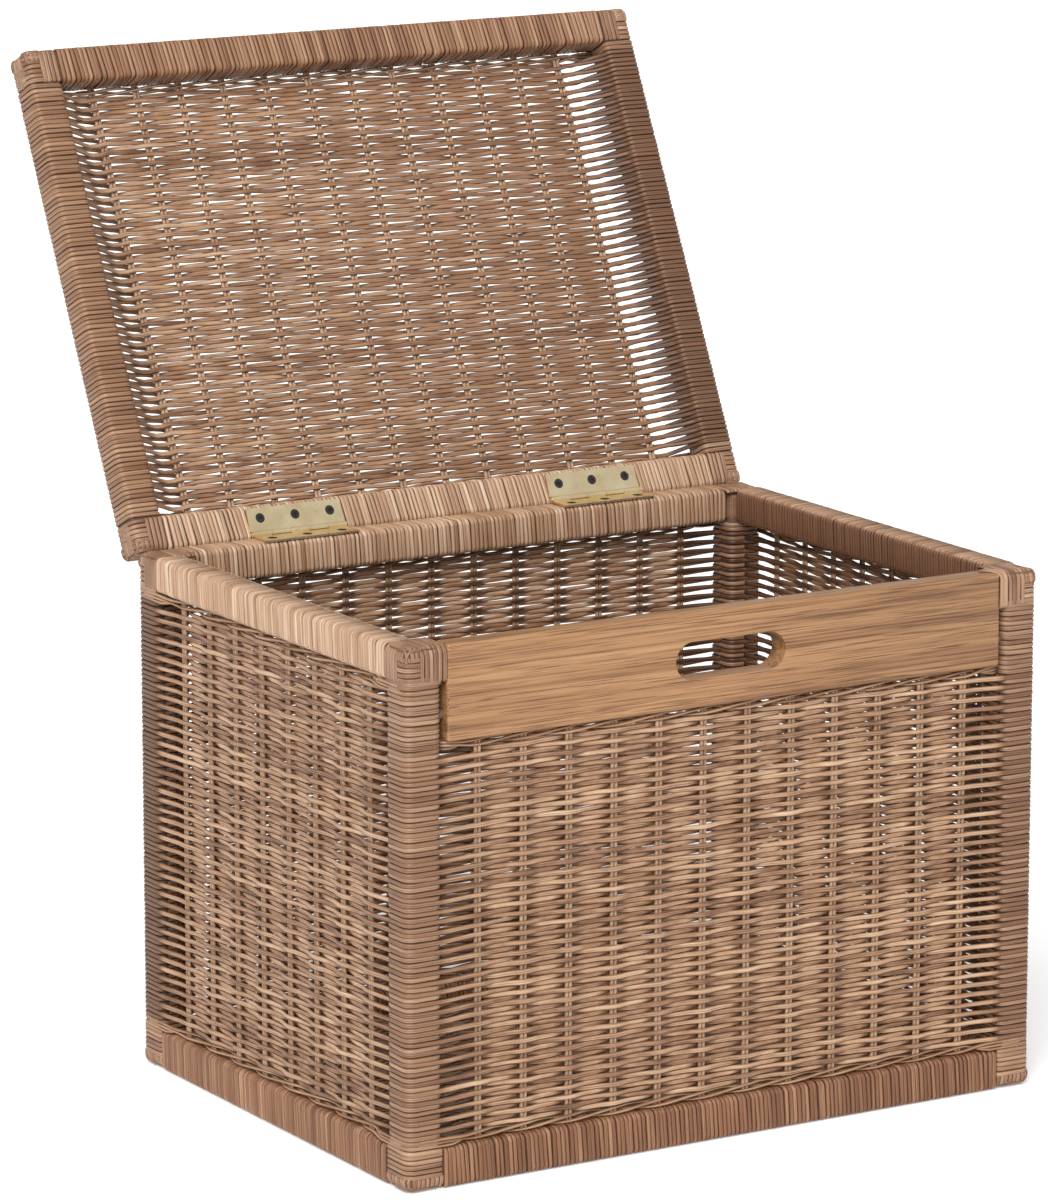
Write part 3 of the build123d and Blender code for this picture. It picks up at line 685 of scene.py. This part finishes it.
def padded_corner(corner, inward, size, radius):
    """Waste cane packed under the crossings, so that no wood shows between them."""
    block = bmesh.new()
    bmesh.ops.create_cube(block, size=1)
    bmesh.ops.scale(block, verts=block.verts, vec=size)
    bmesh.ops.bevel(block, geom=block.edges[:], offset=radius, offset_type="OFFSET", segments=3,
                    profile=0.5, affect="EDGES", material=-1)
    middle = Vector([corner[k] + inward[k] * (size[k] / 2 + OVER_THE_PACKING) for k in range(3)])
    bmesh.ops.translate(block, verts=block.verts, vec=middle)
    mesh = bpy.data.meshes.new("packing")
    block.to_mesh(mesh)
    block.free()
    mesh.attributes.new("cane", "FLOAT", "POINT")
    mesh.uv_layers.new(name="UVMap")
    return mesh, Matrix.Identity(4)


head_sets = [(0, (3, 7.1, 11.2), 12, 10, 0.9), (0, (15.3, 19.4, 23.5, 27.6, 31.7, 35.8), 32, 27, 0.8),
             (1, (3, 7.1, 11.2), 10, 14, 1.0), (1, (15.3, 19.4, 23.5, 27.6, 31.7), 27, 14, 1.0),
             (2, (9.5, 13.6, 17.7, 21.8), 14, 14, 1.2), (2, (25.9, 29), 31, 31, 1.3)]
foot_sets = [(0, (3, 7.1, 11.2, 15.3, 19.4, 23.5, 27.6, 31.7), 20, 10, 1.1),
             (1, (3, 7.1, 11.2, 15.3, 19.4, 23.5, 27.6, 31.7), 10, 20, 1.0),
             (2, (12.5, 16.6, 20.7, 24.8, 28.9, 32.2), 31, 31, 0.9)]
head_packing = (31 * mm, 31 * mm, 28 * mm)
foot_packing = (31 * mm, 31 * mm, 31 * mm)
head_meshes = []
foot_meshes = []
front_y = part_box("front_left_post_wrap")[0].y
back_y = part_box("back_top_binding")[1].y
rail_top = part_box("back_top_binding")[1].z
rail_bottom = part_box("back_bottom_binding")[0].z
for side_x in (-1, 1):
    for side_y in (-1, 1):
        corner_y = front_y if side_y < 0 else back_y
        head = Vector((cad_high.x * side_x, corner_y, rail_top))
        foot = Vector((cad_high.x * side_x, corner_y, rail_bottom))
        head_inward = (-side_x, -side_y, -1)
        foot_inward = (-side_x, -side_y, 1)
        head_meshes += corner_lashing(head, head_inward, head_sets, POST_RADIUS)
        foot_meshes += corner_lashing(foot, foot_inward, foot_sets, POST_RADIUS)
        head_meshes.append(padded_corner(head, head_inward, head_packing, 6 * mm))
        foot_meshes.append(padded_corner(foot, foot_inward, foot_packing, 6 * mm))

# On the right front head three more strands lap over the end of the board and fan out on top.
right_head = Vector((cad_high.x, front_y, rail_top))
lapped = []
for offset, spill, back in ((33.5, 1.5, 19), (35.5, 7, 16), (37, 13, 12)):
    points, closed = hooked_strand(right_head, (-1, 1, -1), 0, offset * mm, back * mm, 27 * mm,
                                   6 * mm, -0.9 * mm)
    reach = np.clip((points[:, 0] - right_head.y - 1 * mm) / (back * mm), 0, 1)
    points[:, 2] -= spill * mm * reach ** 0.8
    lapped.append((points, closed))
head_meshes.append((strand_mesh(lapped, LAPPED_STRAND_WIDTH, STRAND_THICKNESS), axis_places[0]))
make_piece("post_head_lashings", head_meshes, corner_cane, "box", "top_corner_lashings")
make_piece("foot_lashings", foot_meshes, corner_cane, "box", "bottom_corner_lashings")


# Front board: one plank of solid wood with a stadium hand slot, let in flush between the posts.
# It is planed, stained warm brown, darker toward its right end, and waxed; the grain runs sideways.
board_wood, board_tree, board_shader = finish_of("board_wood", roughness=0.42)
board_place = add_node(board_tree, "TexCoord").outputs["Object"]


def board_noise(scale, detail, roughness=0.55, distortion=0.0):
    """Noise drawn out along the grain."""
    place = add_node(board_tree, "Mapping", [("Vector", board_place), ("Scale", scale)]).outputs["Vector"]
    return add_node(board_tree, "TexNoise", [("Vector", place), ("Scale", 1.0), ("Detail", detail),
                                             ("Roughness", roughness), ("Distortion", distortion)]
                    ).outputs["Fac"]


board_figure = board_noise((2.0, 90.0, 130.0), 5.0, 0.62, 1.2)
board_streak = board_noise((6.0, 380.0, 640.0), 3.0)
board_pores = board_noise((16.0, 700.0, 1000.0), 2.0)
board_shade = arithmetic(board_tree, "ADD", arithmetic(board_tree, "MULTIPLY", board_figure, 0.6),
                         arithmetic(board_tree, "MULTIPLY", board_streak, 0.4))
board_colour = colour_ramp(board_tree, board_shade,
                           [(0.36, (0.14, 0.056, 0.02)), (0.44, (0.26, 0.122, 0.048)),
                            (0.53, (0.36, 0.185, 0.078)), (0.66, (0.44, 0.245, 0.115))])
board_dark = colour_ramp(board_tree, board_pores, [(0.36, (0.42, 0.34, 0.30)), (0.46, (1, 1, 1))])
board_colour = multiplied(board_tree, board_colour, board_dark)
board_along = add_node(board_tree, "SeparateXYZ", [("Vector", board_place)]).outputs["X"]
darker_end = add_node(board_tree, "MapRange", [("Value", board_along), ("From Min", 0.0),
                                               ("From Max", 0.28), ("To Min", 1.0),
                                               ("To Max", 0.78)]).outputs[0]
board_colour = multiplied(board_tree, board_colour, darker_end)
board_tree.links.new(board_colour, board_shader.inputs["Base Color"])
board_relief = arithmetic(board_tree, "ADD", board_streak, board_pores)
add_bump(board_tree, board_shader, board_relief, 0.4, 0.3 * mm)
give_finish(board_wood, "front_board")


# Lid: a frame of four rails like the trunk's, shut flat on it or leaning open on its hinges.
# Its panel is woven left to right, set back from the rim and nearly flush with the outer face.
hinge = frame["joints"][0]
hinge_point = Vector(hinge["pos_m"])
shut_angle = math.radians(hinge["range_deg"][1])
open_lid = (Matrix.Translation(hinge_point)
            @ Matrix.Rotation(-shut_angle, 4, Vector(hinge["axis"]))
            @ Matrix.Translation(-hinge_point))
shut_lid = open_lid.inverted()


def shut_box(name):
    """Lowest and highest corners of a lid node with the lid shut."""
    corners = np.array([(shut_lid @ vertex.co)[:] for vertex in nodes[name].data.vertices])
    return Vector(corners.min(0)), Vector(corners.max(0))


low, high = shut_box("lid_weave")
panel_level = (low.z + high.z) / 2
lid_rows = round((high.y - low.y) / ROW_PITCH)
lid_row_pitch = (high.y - low.y) / lid_rows
rail_low, rail_high = shut_box("lid_right_binding")
rail_near = rail_low.x - long_half_span
rail_far = rail_high.x - long_half_span
LID_EDGE = 6 * mm
rail_turn = [tuple(point) for point in ring(rail_near, panel_level - rail_high.z, rail_far,
                                            panel_level - rail_low.z, LID_EDGE, WRAP_INSET)]
# Once round: out along the rail's underside, up its outer side and back over its top.
once_round = rail_turn[7::-1] + rail_turn[:11:-1] + rail_turn[11:12]
onto_rail = [(0.2 * rail_near, -2.0 * mm), (0.4 * rail_near, 0.2 * mm), (0.58 * rail_near, 4.5 * mm),
             (0.8 * rail_near, 11.5 * mm), (rail_near - 1 * mm, 17.5 * mm)] + once_round
under_rail = [(0.2 * rail_near, 3.4 * mm), (0.4 * rail_near, 5.0 * mm), (0.58 * rail_near, 8.5 * mm),
              (0.8 * rail_near, 14.5 * mm), (rail_near - 1 * mm, 19.5 * mm)] + once_round
strands = [woven_row(1 if row % 2 else -1, low.y + (row + 0.5) * lid_row_pitch, long_half_span,
                     long_pitch, (onto_rail, under_rail), (onto_rail, under_rail))
           for row in range(lid_rows)]
BUNCHING = 1.8 * mm
for row, strand in enumerate(strands):
    points = strand[0]
    beyond = np.clip((np.abs(points[:, 0]) - long_half_span) / (0.7 * rail_near), 0, 1)
    points[:, 2] += (BUNCHING if row % 2 == 0 else -BUNCHING) * np.sin(math.pi * beyond)
lid_panel_place = open_lid @ Matrix(((1, 0, 0, 0), (0, 0, 1, 0), (0, -1, 0, panel_level), (0, 0, 0, 1)))
mesh = strand_mesh(strands, STRAND_WIDTH, STRAND_THICKNESS)
across, deep = spots_of(mesh)[:2]
# Painted shade on the lid's weave: it darkens from left to right, on its outer face, on the slopes up to
# the side rails, and over the rails, most on the right.
painted_shade_on_left_rail, painted_shade_on_right_rail = 0.85, 1.55
painted_shade_on_left_slope, painted_shade_on_right_slope = 0.8, 1.8
painted_shade_across_panel = 0.6
painted_shade_on_outer_face = 1.2
darker_at_ends = np.where(across > 0, painted_shade_on_right_rail, painted_shade_on_left_rail)
darker_at_ends = darker_at_ends * np.clip((np.abs(across) - rail_low.x + DARKER_END_RAMP) / DARKER_END_RAMP, 0, 1)
shaded = painted_shade_on_outer_face * np.clip(0.2 - deep / WEAVE_DEPTH, 0, 1)
shaded = np.maximum(shaded, painted_shade_across_panel + painted_shade_across_panel * across / rail_low.x)
up_the_side = (np.abs(across) - long_half_span) / rail_near
on_the_slope = (up_the_side > 0.5) & (up_the_side < 1.0)
to_the_right = across[on_the_slope] > 0
shaded[on_the_slope] = np.where(to_the_right, painted_shade_on_right_slope, painted_shade_on_left_slope)
set_painted_shade_and_darkening(mesh, np.maximum(darker_at_ends, shaded))
make_piece("lid_weaving", [(mesh, lid_panel_place)], weaver, "lid", "lid_weave")
border_low, border_high = shut_box("lid_borders")
rods = []
for level in ((border_low.y + low.y) / 2, (border_high.y + high.y) / 2):
    rods += twisted_border(long_half_span, long_pitch, level, border_high.x + 2 * mm, -1.5 * mm)
mesh = strand_mesh(rods, ROD_DIAMETER + 0.1 * mm, ROD_DIAMETER)
make_piece("lid_panel_borders", [(mesh, lid_panel_place)], border_cane, "lid",
           "lid_borders")
for rail, tone in (("lid_front", 0.1), ("lid_back", 0.9)):
    low, high = shut_box(rail + "_binding")
    mesh, place = bound_rail(low, high, 0, tone)
    make_piece(rail + "_rail_winding", [(mesh, open_lid @ place)], rail_cane, "lid",
               rail + "_binding")
for rail in ("lid_left", "lid_right"):
    low, high = shut_box(rail + "_binding")
    outline = ring(low.z, low.x, high.z, high.x, LID_EDGE, WRAP_INSET)
    ends = [low.y + 2 * mm, low.y + 6 * mm, high.y - 6 * mm, high.y - 2 * mm]
    strands = [wound_ring(outline, level, RING_TILT) for level in ends]
    mesh = strand_mesh(strands, RING_WIDTH, STRAND_THICKNESS)
    make_piece(rail + "_rail_winding", [(mesh, open_lid @ along_y)], post_cane, "lid",
               rail + "_binding")
lid_low, lid_high = shut_box("lid_corner_lashings")
corner_meshes = []
lid_sets = [(0, (3, 7.1, 11.2), 10, 7, 0.9), (0, (15.3, 19.4, 23.5, 27.6), 28, 14, 0.8),
            (1, (3, 7.1, 11.2), 7, 14, 1.0), (1, (15.3, 19.4, 23.5, 27.6), 14, 14, 1.0),
            (2, (9.5, 13.6), 28, 28, 1.2)]
lid_packing = (28 * mm, 28 * mm, 17 * mm)
for side_x in (-1, 1):
    for side_y in (-1, 1):
        for side_z in (-1, 1):
            corner_z = lid_high.z if side_z > 0 else lid_low.z
            corner = Vector((lid_high.x * side_x, lid_high.y * side_y, corner_z))
            inward = (-side_x, -side_y, -side_z)
            for mesh, place in corner_lashing(corner, inward, lid_sets, 7 * mm):
                corner_meshes.append((mesh, open_lid @ place))
            mesh, place = padded_corner(corner, inward, lid_packing, 5 * mm)
            corner_meshes.append((mesh, open_lid @ place))
make_piece("lid_corner_crossings", corner_meshes, corner_cane, "lid", "lid_corner_lashings")


# Hinges: two butt hinges of rolled brass, lightly tarnished, each with two leaves and a pin. Black
# japanned screws hold them through the cane into the back rails.
hinge_brass, brass_tree, brass_shader = finish_of("hinge_brass", metallic=1.0, roughness=0.27)
brass_mark = speckle(brass_tree, 60.0, 3.0)
brass_colour = colour_ramp(brass_tree, brass_mark, [(0.3, (0.86, 0.68, 0.40)), (0.7, (1.0, 0.84, 0.55))])
brass_tree.links.new(brass_colour, brass_shader.inputs["Base Color"])
add_bump(brass_tree, brass_shader, brass_mark, 0.1, 0.2 * mm)
give_finish(hinge_brass, "hinge_box_leaves", "hinge_lid_leaves", "hinge_pins")
black_screw, screw_tree, screw_shader = finish_of("black_screw", roughness=0.55)
screw_colour = colour_ramp(screw_tree, speckle(screw_tree, 400.0, 3.0),
                           [(0.3, (0.008, 0.007, 0.006)), (0.7, (0.025, 0.021, 0.018))])
screw_tree.links.new(screw_colour, screw_shader.inputs["Base Color"])
give_finish(black_screw, "hinge_box_screws", "hinge_lid_screws")


# Studio: a plain white floor that runs back into a white surround. One broad soft light stands at
# the upper left in front, and the surround fills the shadows more weakly.
floor_grid = bmesh.new()
bmesh.ops.create_grid(floor_grid, x_segments=2, y_segments=2, size=12)
bmesh.ops.translate(floor_grid, verts=floor_grid.verts, vec=(0, 0, -0.5 * mm))
floor_data = bpy.data.meshes.new("studio_floor")
floor_grid.to_mesh(floor_data)
floor_grid.free()
floor_material, floor_tree, floor_shader = finish_of("studio_white", roughness=0.9)
floor_shader.inputs["Base Color"].default_value = (0.9, 0.9, 0.9, 1)
floor_shader.inputs["Emission Color"].default_value = (1, 1, 1, 1)
floor_shader.inputs["Emission Strength"].default_value = 0.2
floor_data.materials.append(floor_material)
studio_floor = bpy.data.objects.new("studio_floor", floor_data)
bpy.context.scene.collection.objects.link(studio_floor)

key_data = bpy.data.lights.new("key_light", "SUN")
key_data.energy = 3.1
key_data.angle = math.radians(35)
key_light = bpy.data.objects.new("key_light", key_data)
key_light.rotation_euler = Vector((-0.50, -0.58, 0.64)).to_track_quat("Z", "Y").to_euler()
bpy.context.scene.collection.objects.link(key_light)

studio = bpy.data.worlds.new("studio")
studio.use_nodes = True
bpy.context.scene.world = studio
surround = studio.node_tree.nodes["Background"]
surround.inputs["Color"].default_value = (1, 1, 1, 1)
seen = add_node(studio.node_tree, "LightPath").outputs["Is Camera Ray"]
strength = add_node(studio.node_tree, "MapRange", [("Value", seen), ("To Min", 0.58), ("To Max", 1.0)])
studio.node_tree.links.new(strength.outputs[0], surround.inputs["Strength"])
bpy.context.scene.view_settings.view_transform = "Standard"
